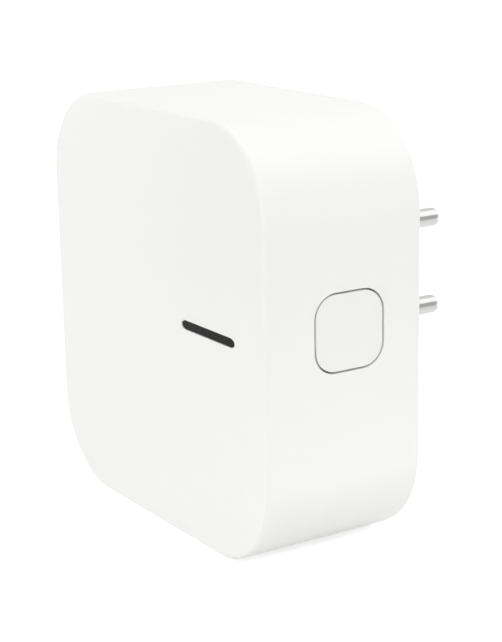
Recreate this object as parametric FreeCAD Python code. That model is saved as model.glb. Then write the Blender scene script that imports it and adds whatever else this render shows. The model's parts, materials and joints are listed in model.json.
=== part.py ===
import FreeCAD, Part
import math
import os

V = FreeCAD.Vector

# Smart home gateway that plugs into a wall socket.
# Millimetres. +X to the button side, +Y out of the back along the plug pins, +Z up.
# The origin is midway between the pins, on the flat face of the plug that they stand out of.
# Heights are drawn from the middle of the body, and the whole is lowered by plug_rise at the end.

# Body, over the outside of the mouldings
body_width = 80.0
body_height = 83.0
body_depth = 34.0
corner_radius = 18.0
front_edge_round = 0.9
back_edge_round = 0.5
side_wall = 2.4
front_wall = 2.0
cavity_edge_round = 1.0
root_bite = 1.0

# Rear cover, let into a rebate so that no joint line shows from the side
cover_thickness = 2.2
cover_lip = 1.2
cover_gap = 0.15
rim_height = 1.8
rim_wall = 1.2

# Corner posts of the front housing, and the screws that hold the cover to them
post_inset = 14.0
post_root_diameter = 7.2
post_tip_diameter = 6.2
post_pilot_diameter = 2.5
post_pilot_depth = 9.5
gusset_thickness = 1.2
seat_height = 2.0
seat_diameter = 8.4
cover_screw_head_diameter = 5.2
cover_screw_head_height = 1.7
cover_screw_diameter = 2.4
cover_screw_length = 9.0
cover_screw_sink = 0.6
cover_bore_gap = 0.25
screw_hole_gap = 0.3
cross_width = 0.7
cross_length_share = 0.62
cross_depth_share = 0.6
head_round_share = 0.45

# Plug boss, whose outline is that of the flat two-pin mains plug, a little above the middle
plug_rise = 2.2
boss_depth = 16.5
boss_height = 35.3
boss_width = 13.7
boss_bevel = 4.6
boss_wall = 1.6
boss_end_wall = 2.5
boss_edge_round = 0.6
boss_corner_round = 1.5
boss_inner_round = 0.4

# Plug pins with insulated roots
pin_spacing = 19.0
pin_diameter = 4.0
pin_length = 19.0
pin_tip_round = 1.4
sleeve_length = 10.0
sleeve_diameter = 3.6
neck_diameter = 3.0
press_gap = 0.03
pin_flange_diameter = 7.0
pin_flange_thickness = 1.5
tail_diameter = 2.4
rivet_diameter = 3.6
rivet_height = 0.7

# Plate that clamps both pin flanges inside the boss
retainer_thickness = 3.2
retainer_gap = 0.15
retainer_post_diameter = 5.0
retainer_pilot_depth = 3.0
tail_hole_gap = 0.2
retainer_screw_head_diameter = 3.8
retainer_screw_head_height = 1.3
retainer_screw_diameter = 1.6
retainer_screw_length = 5.8
pilot_gap = 0.05

# Sprung brass strips from the pins to the power board
strip_thickness = 0.6
strip_width = 4.0
strip_foot = 5.4
strip_tail = 1.4
strip_slot_gap = 0.2

# Power board, carried by the rear cover
board_thickness = 1.6
power_standoff_height = 3.2
power_standoff_diameter = 5.6
power_board_side_gap = 4.6
power_board_end_gap = 8.6
power_notch_gap = 1.1
power_screw_edge = 4.0
power_screw_notch_gap = 2.5
board_screw_head_diameter = 4.0
board_screw_head_height = 1.4
board_screw_diameter = 1.7
board_screw_bite = 2.8

# Main board, carried by the front housing
main_standoff_height = 3.4
main_standoff_diameter = 5.0
main_standoff_x = 14.0
main_standoff_edge = 5.5
main_board_gap = 3.1
main_board_corner = 11.0
post_clearance = 0.3

# Indicator window in the front face, and the light path behind it
slot_from_side = 19.8
slot_z = 1.4
slot_length = 18.7
slot_height = 1.8
window_gap = 0.05
window_sink = 0.15
window_flange = 1.2
window_flange_thickness = 0.7
guide_length = 19.6
guide_height = 2.6
guide_thickness = 1.5
guide_leg_width = 1.6
guide_leg_height = 2.0
guide_leg_round = 0.4
guide_peg_diameter = 1.2
guide_peg_gap = 0.1
seal_gap = 0.3
seal_wall = 1.6
light_spacing = 8.0
light_width = 3.5
light_height = 2.8
light_thickness = 0.8
light_corner = 0.3
light_cup_diameter = 2.1
light_cup_depth = 0.4

# Push button in the right side wall
button_behind_middle = 1.0
button_z = 3.3
button_depth = 14.7
button_height = 14.3
button_corner = 4.3
button_gap = 0.35
button_edge_round = 0.2
button_face = 1.3
button_wall = 1.5
button_flange = 1.5
button_flange_thickness = 1.0
button_travel = 0.4
button_post_diameter = 4.0
button_rib = 0.8
button_guide_gap = 0.3
button_guide_wall = 2.4
button_guide_depth = 3.0
button_guide_back = 1.0
button_guide_corner = 2.0
button_guide_rim_gap = 0.6
button_post_gap = 0.5
button_post_proud = 0.7
stake_inset = 2.2
stake_diameter = 1.6
stake_gap = 0.1
stake_head_diameter = 2.8
stake_head_height = 0.7

# Push switch on a small board that stands on the main board
switch_size = 6.0
switch_height = 3.5
switch_corner = 0.5
switch_plunger_diameter = 3.5
switch_plunger_proud = 0.6
switch_plunger_sunk = 1.2
switch_plunger_gap = 0.15
switch_stop_gap = 0.2
switch_foot_length = 1.1
switch_foot_width = 0.8
switch_foot_height = 0.3
button_board_thickness = 1.2
button_board_half = 12.6
button_board_end_gap = 0.6
button_tab_width = 5.0
button_tab_offset = 7.0
button_tab_gap = 0.1
rail_gap = 0.1
rail_bite = 0.6
rail_thickness = 2.0
rail_overhang = 1.5
rail_end_gap = 0.3

# Parts on the power board: sizes, and places measured from the board's edges or centre
lead_diameter = 0.8
transformer_from_left = 22.0
transformer_z = 0.0
core_length = 16.0
core_height = 12.0
core_depth = 6.0
core_leg = 2.0
core_centre_leg = 4.0
core_lift = 0.8
winding_gap = 0.1
winding_bulge = 3.0
bobbin_flange = 0.6
bobbin_flange_step = 0.5
bobbin_rail = 2.0
winding_corner = 0.3

bulk_diameter = 8.0
bulk_height = 13.5
bulk_from_edge = 6.0
bulk_first_z = -9.9
bulk_pitch = 9.4
can_edge_round = 0.5
can_groove = 0.35
can_groove_height = 2.0

choke_diameter = 8.0
choke_height = 10.0
choke_z = 9.5
choke_core_diameter = 6.4
choke_cheek = 1.6

rectifier_from_left = 15.0
rectifier_from_top = 11.5
rectifier_length = 8.0
rectifier_width = 6.4
rectifier_height = 3.2
rectifier_lead_count = 2

fuse_from_left = 25.0
fuse_from_top = 10.0
fuse_length = 8.0
fuse_diameter = 3.6
fuse_end_diameter = 4.2
fuse_end_length = 1.6
fuse_lift = 0.3
fuse_lead_length = 0.8

surge_from_right = 24.0
surge_from_top = 11.0
surge_diameter = 9.0
surge_thickness = 3.6
disc_lift = 1.2
disc_lead_share = 0.25
disc_round_share = 0.35

safety_from_right = 28.0
safety_from_foot = 10.5
safety_diameter = 8.0
safety_thickness = 3.4

controller_from_left = 19.0
controller_from_foot = 10.5
controller_length = 9.4
controller_width = 6.4
controller_height = 3.3
controller_lead_count = 4

output_can_from_right = 21.0
output_can_z = 3.0
output_can_diameter = 8.0
output_can_height = 11.5

diode_from_right = 18.0
diode_z = -9.0
diode_length = 5.2
diode_diameter = 2.7

# Plug-together header between the two boards
header_from_right = 17.5
header_from_foot = 7.5
header_pin_count = 4
header_pitch = 2.54
header_width = 2.5
header_base = 2.5
header_pin = 0.64
header_tail = 1.0
socket_height = 8.5
socket_depth = 6.5
socket_hole_gap = 0.1

# Parts on the back of the main board
processor_x = -4.0
processor_z = -9.0
processor_size = 9.0
processor_height = 0.9
processor_lead_count = 6
memory_x = -17.0
memory_z = -9.0
memory_length = 8.0
memory_width = 6.0
memory_height = 0.8
memory_lead_count = 4
crystal_x = -4.0
crystal_z = -18.5
crystal_length = 5.0
crystal_width = 3.2
crystal_height = 1.1
crystal_corner = 0.6
network_x = -14.0
network_z = 10.0
network_width = 18.0
network_length = 22.0
network_can_width = 15.6
network_can_length = 16.0
sensor_x = 11.0
sensor_z = 10.0
sensor_width = 15.0
sensor_length = 20.0
sensor_can_width = 12.6
sensor_can_length = 13.0
module_thickness = 0.8
shield_height = 2.2
shield_wall = 0.2
shield_corner = 0.8
shield_edge_gap = 1.0
shield_top_round = 0.5
chip_lead_length = 1.0
chip_lead_width = 0.5
chip_lead_height = 0.3
antenna_edge = 4.0
antenna_length = 14.0
antenna_height = 4.0
antenna_thickness = 0.4
antenna_strip = 1.6
antenna_leg_spacing = 4.0

# Places that follow from the sizes
touch = 1e-4
boss_end_y = 0.0
back_y = boss_end_y - boss_depth
front_y = back_y - body_depth
cavity_y = front_y + front_wall
cover_y = back_y - cover_thickness
seat_y = cover_y - seat_height
wall_x = body_width / 2.0 - side_wall
wall_z = body_height / 2.0 - side_wall
post_x = body_width / 2.0 - post_inset
post_z = body_height / 2.0 - post_inset
screw_floor_y = back_y - cover_screw_sink - cover_screw_head_height
slot_x = body_width / 2.0 - slot_from_side
pin_places = {1: plug_rise + pin_spacing / 2.0, -1: plug_rise - pin_spacing / 2.0}
flange_y = boss_end_y - boss_end_wall
clamp_y = flange_y - pin_flange_thickness
retainer_y = clamp_y - retainer_thickness
strip_y = retainer_y - strip_thickness
power_back_y = cover_y - power_standoff_height
power_y = power_back_y - board_thickness
main_front_y = cavity_y + main_standoff_height
main_y = main_front_y + board_thickness
power_half_x = wall_x - power_board_side_gap
power_half_z = wall_z - power_board_end_gap
main_half_x = wall_x - main_board_gap
main_half_z = wall_z - main_board_gap
main_standoff_z = main_half_z - main_standoff_edge
notch_x = post_x - post_root_diameter / 2.0 - power_notch_gap
notch_z = post_z - post_root_diameter / 2.0 - power_notch_gap
power_screw_x = power_half_x - power_screw_edge
power_screw_z = notch_z - power_screw_notch_gap
strip_reach = strip_foot / 2.0 - strip_thickness / 2.0
transformer_x = transformer_from_left - power_half_x
bulk_x = bulk_from_edge - power_half_x
rectifier_x = rectifier_from_left - power_half_x
rectifier_z = power_half_z - rectifier_from_top
fuse_x = fuse_from_left - power_half_x
fuse_z = power_half_z - fuse_from_top
surge_x = power_half_x - surge_from_right
surge_z = power_half_z - surge_from_top
safety_x = power_half_x - safety_from_right
safety_z = safety_from_foot - power_half_z
controller_x = controller_from_left - power_half_x
controller_z = controller_from_foot - power_half_z
output_can_x = power_half_x - output_can_from_right
diode_x = power_half_x - diode_from_right
header_x = power_half_x - header_from_right
header_z = header_from_foot - power_half_z
button_y = front_y + body_depth / 2.0 + button_behind_middle
button_inner_x = wall_x - button_flange_thickness
guide_inner_x = wall_x - button_guide_depth
guide_half_y = button_depth / 2.0 + button_flange + button_guide_gap + button_guide_wall
guide_half_z = button_height / 2.0 + button_flange + button_guide_gap + button_guide_wall
switch_tip_x = guide_inner_x - button_post_proud
switch_top_x = switch_tip_x - switch_plunger_proud
button_board_x = switch_top_x - switch_height
button_board_end_y = power_y - button_board_end_gap
CORNERS = ((1, 1), (-1, 1), (-1, -1), (1, -1))
# How much shorter a 45 degree bevel gets for each millimetre that its outline is drawn in
BEVEL_SHRINK = 2.0 - math.sqrt(2.0)


def rounded_face(width, height, radius):
    """Rounded rectangle about the origin of the XZ plane."""
    half_width = width / 2.0
    half_height = height / 2.0
    bulge = radius * (1.0 - math.sqrt(0.5))
    arcs = []
    for x_sign, z_sign in CORNERS:
        side_end = V(x_sign * half_width, 0, z_sign * (half_height - radius))
        top_end = V(x_sign * (half_width - radius), 0, z_sign * half_height)
        middle = V(x_sign * (half_width - bulge), 0, z_sign * (half_height - bulge))
        first, last = (side_end, top_end) if x_sign * z_sign > 0 else (top_end, side_end)
        arcs.append((first, middle, last))
    edges = []
    for index, (first, middle, last) in enumerate(arcs):
        edges.append(Part.Arc(first, middle, last).toShape())
        following = arcs[(index + 1) % len(arcs)][0]
        if last.distanceToPoint(following) > touch:
            edges.append(Part.makeLine(last, following))
    return Part.Face(Part.Wire(edges))


def plate(width, height, radius, y_from, y_to, x=0.0, z=0.0):
    """Rounded rectangle seen from the front, thick along Y."""
    solid = rounded_face(width, height, radius).extrude(V(0, y_to - y_from, 0))
    solid.translate(V(x, y_from, z))
    return solid


def side_plate(depth, height, radius, x_from, x_to, y, z):
    """Rounded rectangle seen from the side, thick along X."""
    face = rounded_face(depth, height, radius)
    face.rotate(V(0, 0, 0), V(0, 0, 1), 90.0)
    solid = face.extrude(V(x_to - x_from, 0, 0))
    solid.translate(V(x_from, y, z))
    return solid


def block(x_from, x_to, y_from, y_to, z_from, z_to):
    """Box between two corners."""
    size = V(x_to - x_from, y_to - y_from, z_to - z_from)
    return Part.makeBox(size.x, size.y, size.z, V(x_from, y_from, z_from))


def rod(diameter, y_from, y_to, x, z):
    """Cylinder along Y."""
    return Part.makeCylinder(diameter / 2.0, y_to - y_from, V(x, y_from, z), V(0, 1, 0))


def cross_rod(diameter, x_from, x_to, y, z):
    """Cylinder along X."""
    return Part.makeCylinder(diameter / 2.0, x_to - x_from, V(x_from, y, z), V(1, 0, 0))


def turned(profile, x, z):
    """Solid of revolution about a line along Y, from a closed list of radius and y."""
    points = [V(radius, y, 0) for radius, y in profile]
    face = Part.Face(Part.makePolygon(points + points[:1]))
    solid = face.revolve(V(0, 0, 0), V(0, 1, 0), 360)
    solid.translate(V(x, 0, z))
    return solid


def edges_at_y(shape, y):
    """Edges that lie wholly in the plane at y."""
    return [e for e in shape.Edges if abs(e.BoundBox.YMin - y) < touch and abs(e.BoundBox.YMax - y) < touch]


def edges_at_x(shape, x):
    """Edges that lie wholly in the plane at x."""
    return [e for e in shape.Edges if abs(e.BoundBox.XMin - x) < touch and abs(e.BoundBox.XMax - x) < touch]


def joined(first, others):
    """One solid out of pieces that meet."""
    return first.fuse(others).removeSplitter()


def housing_shell():
    """Deep five-sided shell with the rebate for the rear cover."""
    outer = plate(body_width, body_height, corner_radius, front_y, back_y)
    outer = outer.makeFillet(front_edge_round, edges_at_y(outer, front_y))
    outer = outer.makeFillet(back_edge_round, edges_at_y(outer, back_y))
    cavity = plate(2 * wall_x, 2 * wall_z, corner_radius - side_wall, cavity_y, back_y)
    cavity = cavity.makeFillet(cavity_edge_round, edges_at_y(cavity, cavity_y))
    lip = 2 * cover_lip
    rebate = plate(body_width - lip, body_height - lip, corner_radius - cover_lip, cover_y, back_y)
    return outer.cut([cavity, rebate])


def corner_posts():
    """Tapered posts for the cover screws, each with two gussets out to the walls."""
    pieces = []
    gusset_y = main_front_y - rail_end_gap
    half = gusset_thickness / 2.0
    for x_sign, z_sign in CORNERS:
        x = x_sign * post_x
        z = z_sign * post_z
        root = post_root_diameter / 2.0
        tip = post_tip_diameter / 2.0
        pieces.append(Part.makeCone(root, tip, seat_y - cavity_y, V(x, cavity_y, z), V(0, 1, 0)))
        end_x = x_sign * (wall_x + root_bite)
        end_z = z_sign * (wall_z + root_bite)
        pieces.append(block(min(x, end_x), max(x, end_x), cavity_y, gusset_y, z - half, z + half))
        pieces.append(block(x - half, x + half, cavity_y, gusset_y, min(z, end_z), max(z, end_z)))
    return pieces


def main_standoffs():
    """Short bosses on the front wall that the main board is screwed to."""
    places = [(x_sign * main_standoff_x, z_sign * main_standoff_z) for x_sign, z_sign in CORNERS]
    return [rod(main_standoff_diameter, cavity_y, main_front_y, x, z) for x, z in places]


def board_rails():
    """Grooved rails on the side wall that hold the edges of the button board."""
    rails = []
    inner_x = button_board_x - button_board_thickness - rail_overhang
    inner_z = button_board_half - rail_bite
    for sign in (1, -1):
        low, high = sorted((button_z + sign * inner_z, button_z + sign * (inner_z + rail_thickness)))
        y_from = main_y + rail_end_gap
        y_to = power_y - board_screw_head_height - rail_end_gap
        rail = block(inner_x, wall_x + root_bite, y_from, y_to, low, high)
        groove_low, groove_high = sorted(
            (button_z + sign * (inner_z - rail_gap), button_z + sign * (button_board_half + rail_gap))
        )
        groove = block(
            button_board_x - button_board_thickness - rail_gap,
            button_board_x + rail_gap,
            y_from,
            y_to,
            groove_low,
            groove_high,
        )
        rails.append(rail.cut(groove))
    return rails


def stake_places():
    """Centres of the four melted pegs that hold the button guide."""
    half_y = guide_half_y - stake_inset
    half_z = guide_half_z - stake_inset
    return [(button_y + y_sign * half_y, button_z + z_sign * half_z) for y_sign, z_sign in CORNERS]


def guide_stakes():
    """Pegs with melted heads, moulded on the side wall."""
    pieces = []
    for y, z in stake_places():
        pieces.append(cross_rod(stake_diameter, guide_inner_x, wall_x + root_bite, y, z))
        head = Part.makeCone(
            stake_head_diameter / 2.0,
            stake_diameter / 2.0,
            stake_head_height,
            V(guide_inner_x, y, z),
            V(-1, 0, 0),
        )
        pieces.append(head)
    return pieces


def front_housing():
    """Front face and side walls in one moulding, with everything that stands inside it."""
    stakes = guide_stakes()
    body = joined(housing_shell(), corner_posts() + main_standoffs() + board_rails() + stakes)
    cuts = [plate(slot_length, slot_height, slot_height / 2.0, front_y, cavity_y, slot_x, slot_z)]
    cuts.append(
        side_plate(
            button_depth + 2 * button_gap,
            button_height + 2 * button_gap,
            button_corner + button_gap,
            wall_x,
            body_width / 2.0,
            button_y,
            button_z,
        )
    )
    for x_sign, z_sign in CORNERS:
        x = x_sign * post_x
        z = z_sign * post_z
        cuts.append(rod(post_pilot_diameter, seat_y - post_pilot_depth, seat_y, x, z))
        x = x_sign * main_standoff_x
        z = z_sign * main_standoff_z
        pilot = board_screw_diameter + 2 * pilot_gap
        cuts.append(rod(pilot, main_front_y - board_screw_bite - pilot_gap, main_front_y, x, z))
    return body.cut(cuts)


def boss_prism(inset, y_from, y_to):
    """Length of the plug's eight-sided outline, drawn in from all sides by inset."""
    half_x = boss_width / 2.0 - inset
    half_z = boss_height / 2.0 - inset
    bevel = boss_bevel - inset * BEVEL_SHRINK
    points = []
    for x_sign, z_sign in CORNERS:
        side_point = V(x_sign * half_x, y_from, z_sign * (half_z - bevel))
        end_point = V(x_sign * (half_x - bevel), y_from, z_sign * half_z)
        points += [side_point, end_point] if x_sign * z_sign > 0 else [end_point, side_point]
    prism = Part.Face(Part.makePolygon(points + points[:1])).extrude(V(0, y_to - y_from, 0))
    along = [e for e in prism.Edges if e.BoundBox.YLength > touch]
    prism = prism.makeFillet(max(boss_corner_round - inset, boss_inner_round), along)
    prism.translate(V(0, 0, plug_rise))
    return prism


def power_screw_places():
    """Centres of the four power board screws."""
    return [(x_sign * power_screw_x, z_sign * power_screw_z) for x_sign, z_sign in CORNERS]


def rear_cover():
    """Back plate with the hollow plug boss, the locating rim and the seats of the screws."""
    inset = cover_lip + cover_gap
    width = body_width - 2 * inset
    height = body_height - 2 * inset
    plate_body = plate(width, height, corner_radius - inset, cover_y, back_y)
    boss = boss_prism(0.0, cover_y, boss_end_y)
    boss = boss.makeFillet(boss_edge_round, edges_at_y(boss, boss_end_y))
    rim_width = 2 * (wall_x - cover_gap)
    rim_length = 2 * (wall_z - cover_gap)
    rim_corner = corner_radius - side_wall - cover_gap
    rim_y = cover_y - rim_height
    rim = plate(rim_width, rim_length, rim_corner, rim_y, cover_y)
    notch_x = guide_inner_x - button_guide_rim_gap
    notch_half = guide_half_z + button_guide_rim_gap
    notch_low = button_z - notch_half
    notch_high = button_z + notch_half
    rim = rim.cut(block(notch_x, wall_x, rim_y, cover_y, notch_low, notch_high))
    lip = 2 * rim_wall
    rim_hole = plate(rim_width - lip, rim_length - lip, rim_corner - rim_wall, rim_y, cover_y)
    pieces = [boss, rim.cut(rim_hole)]
    pieces += [rod(seat_diameter, seat_y, cover_y, xs * post_x, zs * post_z) for xs, zs in CORNERS]
    pieces += [rod(power_standoff_diameter, power_back_y, cover_y, x, z) for x, z in power_screw_places()]
    body = joined(plate_body, pieces)
    hollow = boss_prism(boss_wall, cover_y, flange_y)
    post = rod(retainer_post_diameter, clamp_y, flange_y, 0.0, plug_rise)
    body = joined(body.cut(hollow), [post])
    cuts = []
    head_bore = cover_screw_head_diameter + 2 * cover_bore_gap
    for x_sign, z_sign in CORNERS:
        x = x_sign * post_x
        z = z_sign * post_z
        cuts.append(rod(head_bore, screw_floor_y, back_y, x, z))
        cuts.append(rod(cover_screw_diameter + 2 * screw_hole_gap, seat_y, screw_floor_y, x, z))
    for x, z in power_screw_places():
        cuts.append(rod(board_screw_diameter + 2 * pilot_gap, power_back_y, cover_y, x, z))
    for z in pin_places.values():
        cuts.append(rod(sleeve_diameter + 2 * press_gap, flange_y, boss_end_y, 0.0, z))
    retainer_pilot = retainer_screw_diameter + 2 * pilot_gap
    cuts.append(rod(retainer_pilot, clamp_y, clamp_y + retainer_pilot_depth, 0.0, plug_rise))
    return body.cut(cuts)


def plug_pin(sign):
    """Turned pin: bare tip, thin neck under the sleeve, clamped flange and riveted tail."""
    rivet_y = strip_y - rivet_height
    profile = [
        (0.0, rivet_y),
        (rivet_diameter / 2.0, rivet_y),
        (rivet_diameter / 2.0, strip_y),
        (tail_diameter / 2.0, strip_y),
        (tail_diameter / 2.0, clamp_y),
        (pin_flange_diameter / 2.0, clamp_y),
        (pin_flange_diameter / 2.0, flange_y),
        (neck_diameter / 2.0, flange_y),
        (neck_diameter / 2.0, sleeve_length),
        (pin_diameter / 2.0, sleeve_length),
        (pin_diameter / 2.0, pin_length),
        (0.0, pin_length),
    ]
    pin = turned(profile, 0.0, pin_places[sign])
    return pin.makeFillet(pin_tip_round, edges_at_y(pin, pin_length))


def pin_sleeve(sign):
    """Insulating tube on the root of a pin."""
    outer = rod(sleeve_diameter, flange_y, sleeve_length, 0.0, pin_places[sign])
    return outer.cut(rod(neck_diameter + 2 * press_gap, flange_y, sleeve_length, 0.0, pin_places[sign]))


def pin_retainer():
    """Moulded plate that presses both pin flanges against the end of the boss."""
    body = boss_prism(boss_wall + retainer_gap, retainer_y, clamp_y)
    tail_hole = tail_diameter + 2 * tail_hole_gap
    holes = [rod(tail_hole, retainer_y, clamp_y, 0.0, z) for z in pin_places.values()]
    holes.append(rod(retainer_screw_diameter + 2 * screw_hole_gap, retainer_y, clamp_y, 0.0, plug_rise))
    return body.cut(holes)


def pan_screw(head_diameter, head_height, diameter, length, seat, x, z, head_way):
    """Pan-head screw along Y, with a cross in the head. head_way is the side that the head is on."""
    base = seat if head_way > 0 else seat - head_height
    head = rod(head_diameter, base, base + head_height, x, z)
    top = seat + head_way * head_height
    head = head.makeFillet(head_height * head_round_share, edges_at_y(head, top))
    low, high = sorted((seat, seat - head_way * length))
    screw = joined(head, [rod(diameter, low, high, x, z)])
    half = head_diameter * cross_length_share / 2.0
    slot = cross_width / 2.0
    low, high = sorted((top, top - head_way * head_height * cross_depth_share))
    arms = [block(x - half, x + half, low, high, z - slot, z + slot)]
    arms.append(block(x - slot, x + slot, low, high, z - half, z + half))
    return screw.cut(arms)


def cover_screws():
    """Four screws, sunk in the back of the cover."""
    return [
        pan_screw(
            cover_screw_head_diameter,
            cover_screw_head_height,
            cover_screw_diameter,
            cover_screw_length,
            screw_floor_y,
            x_sign * post_x,
            z_sign * post_z,
            1,
        )
        for x_sign, z_sign in CORNERS
    ]


def board_screw(seat, x, z, head_way):
    """Small screw through a board into a standoff."""
    return pan_screw(
        board_screw_head_diameter,
        board_screw_head_height,
        board_screw_diameter,
        board_thickness + board_screw_bite,
        seat,
        x,
        z,
        head_way,
    )


def power_board_screws():
    """Four screws from the parts side of the power board into the rear cover."""
    return [board_screw(power_y, x, z, -1) for x, z in power_screw_places()]


def main_board_screws():
    """Four screws from the back of the main board into the front housing."""
    return [board_screw(main_y, xs * main_standoff_x, zs * main_standoff_z, 1) for xs, zs in CORNERS]


def retainer_screw():
    """Screw through the middle of the retainer."""
    return pan_screw(
        retainer_screw_head_diameter,
        retainer_screw_head_height,
        retainer_screw_diameter,
        retainer_screw_length,
        retainer_y,
        0.0,
        plug_rise,
        -1,
    )


def contact_strip(sign):
    """Bent brass strip: a foot riveted to the pin and a leg soldered in the power board."""
    half = strip_width / 2.0
    z = pin_places[sign]
    outer_z = z + sign * strip_foot / 2.0
    foot = plate(strip_width, strip_foot, strip_thickness, strip_y, retainer_y, 0.0, z)
    low, high = sorted((outer_z - sign * strip_thickness, outer_z))
    leg = block(-half, half, power_y - strip_tail, retainer_y, low, high)
    strip = joined(foot, [leg])
    return strip.cut(rod(tail_diameter + 2 * press_gap, strip_y, retainer_y, 0.0, z))


def power_board():
    """Board with cut corners for the posts, slots for the strips and holes for its screws."""
    body = block(-power_half_x, power_half_x, power_y, power_back_y, -power_half_z, power_half_z)
    cuts = []
    for x_sign, z_sign in CORNERS:
        x_low, x_high = sorted((x_sign * notch_x, x_sign * body_width / 2.0))
        z_low, z_high = sorted((z_sign * notch_z, z_sign * body_height / 2.0))
        cuts.append(block(x_low, x_high, power_y, power_back_y, z_low, z_high))
    slot_x_half = strip_width / 2.0 + strip_slot_gap
    slot_z_half = strip_thickness / 2.0 + strip_slot_gap
    for sign, pin_z in pin_places.items():
        low = pin_z + sign * strip_reach - slot_z_half
        high = low + 2 * slot_z_half
        cuts.append(block(-slot_x_half, slot_x_half, power_y, power_back_y, low, high))
    for x, z in power_screw_places():
        cuts.append(rod(board_screw_diameter + 2 * screw_hole_gap, power_y, power_back_y, x, z))
    for x in header_places():
        half = header_pin / 2.0 + socket_hole_gap
        cuts.append(block(x - half, x + half, power_y, power_back_y, header_z - half, header_z + half))
    return body.cut(cuts)


def main_board():
    """Board behind the front face, with clearance holes for the posts."""
    body = plate(2 * main_half_x, 2 * main_half_z, main_board_corner, main_front_y, main_y)
    cuts = []
    for x_sign, z_sign in CORNERS:
        post_hole = post_root_diameter + 2 * post_clearance
        cuts.append(rod(post_hole, main_front_y, main_y, x_sign * post_x, z_sign * post_z))
        hole = board_screw_diameter + 2 * screw_hole_gap
        cuts.append(rod(hole, main_front_y, main_y, x_sign * main_standoff_x, z_sign * main_standoff_z))
    for x in guide_peg_places():
        cuts.append(rod(guide_peg_diameter + 2 * guide_peg_gap, main_front_y, main_y, x, slot_z))
    for sign in (1, -1):
        z = button_z + sign * button_tab_offset
        half = button_tab_width / 2.0 + button_tab_gap
        cuts.append(
            block(
                button_board_x - button_board_thickness - button_tab_gap,
                button_board_x + button_tab_gap,
                main_front_y,
                main_y,
                z - half,
                z + half,
            )
        )
    return body.cut(cuts)


def indicator_window():
    """Smoked window that fills the slot, with a flange behind the front wall."""
    pane_length = slot_length - 2 * window_gap
    pane_height = slot_height - 2 * window_gap
    pane_y = front_y + window_sink
    pane = plate(pane_length, pane_height, pane_height / 2.0, pane_y, cavity_y, slot_x, slot_z)
    flange_height = slot_height + 2 * window_flange
    flange = plate(
        slot_length + 2 * window_flange,
        flange_height,
        flange_height / 2.0,
        cavity_y,
        cavity_y + window_flange_thickness,
        slot_x,
        slot_z,
    )
    return joined(pane, [flange])


def guide_peg_places():
    """Centres of the two pegs of the light guide, under its ends."""
    reach = guide_length / 2.0 - guide_leg_width
    return slot_x - reach, slot_x + reach


def light_guide():
    """Clear bar that spreads the light along the window, standing on two legs."""
    y_from = cavity_y + window_flange_thickness
    y_to = y_from + guide_thickness
    pieces = []
    for x in guide_peg_places():
        leg = plate(guide_leg_width, guide_leg_height, guide_leg_round, y_to, main_front_y, x, slot_z)
        pieces += [leg, rod(guide_peg_diameter, y_to, main_y, x, slot_z)]
    bar = plate(guide_length, guide_height, guide_height / 2.0, y_from, y_to, slot_x, slot_z)
    return joined(bar, pieces)


def light_seal():
    """Foam ring between the front wall and the board, which keeps the light in the window."""
    hole_height = slot_height + 2 * window_flange + 2 * seal_gap
    hole_length = slot_length + 2 * window_flange + 2 * seal_gap
    ring_height = hole_height + 2 * seal_wall
    ring_length = hole_length + 2 * seal_wall
    ring = plate(ring_length, ring_height, ring_height / 2.0, cavity_y, main_front_y, slot_x, slot_z)
    hole = plate(hole_length, hole_height, hole_height / 2.0, cavity_y, main_front_y, slot_x, slot_z)
    return ring.cut(hole)


def status_light(sign):
    """Light emitting diode on the front of the main board, with the cup of its lens."""
    x = slot_x + sign * light_spacing / 2.0
    top_y = main_front_y - light_thickness
    body = plate(light_width, light_height, light_corner, top_y, main_front_y, x, slot_z)
    cup = rod(light_cup_diameter, top_y, top_y + light_cup_depth, x, slot_z)
    return body.cut(cup)


def button_cap():
    """Square-round cap with a retaining flange, ribs behind its face and a post for the switch."""
    face_x = body_width / 2.0
    cap = side_plate(button_depth, button_height, button_corner, wall_x, face_x, button_y, button_z)
    cap = cap.makeFillet(button_edge_round, edges_at_x(cap, face_x))
    flange = side_plate(
        button_depth + 2 * button_flange,
        button_height + 2 * button_flange,
        button_corner + button_flange,
        button_inner_x,
        wall_x,
        button_y,
        button_z,
    )
    pocket_x = face_x - button_face
    pocket = side_plate(
        button_depth - 2 * button_wall,
        button_height - 2 * button_wall,
        button_corner - button_wall,
        button_inner_x,
        pocket_x,
        button_y,
        button_z,
    )
    body = joined(cap, [flange]).cut(pocket)
    half = button_rib / 2.0
    half_y = button_depth / 2.0 - button_wall
    half_z = button_height / 2.0 - button_wall
    y = button_y
    z = button_z
    ribs = [block(button_inner_x, pocket_x, y - half_y, y + half_y, z - half, z + half)]
    ribs.append(block(button_inner_x, pocket_x, y - half, y + half, z - half_z, z + half_z))
    post = cross_rod(button_post_diameter, switch_tip_x, pocket_x, y, z)
    return joined(body, ribs + [post])


def button_guide():
    """Frame staked to the side wall, which the flange of the cap slides in."""
    opening_y = 2 * (guide_half_y - button_guide_wall)
    opening_z = 2 * (guide_half_z - button_guide_wall)
    frame = side_plate(
        2 * guide_half_y,
        2 * guide_half_z,
        button_guide_corner,
        guide_inner_x,
        wall_x,
        button_y,
        button_z,
    )
    opening = side_plate(
        opening_y,
        opening_z,
        button_corner + button_flange + button_guide_gap,
        guide_inner_x + button_guide_back,
        wall_x,
        button_y,
        button_z,
    )
    cuts = [opening]
    post_hole = button_post_diameter + 2 * button_post_gap
    cuts.append(cross_rod(post_hole, guide_inner_x, wall_x, button_y, button_z))
    for y, z in stake_places():
        cuts.append(cross_rod(stake_diameter + 2 * stake_gap, guide_inner_x, wall_x, y, z))
    return frame.cut(cuts)


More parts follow.
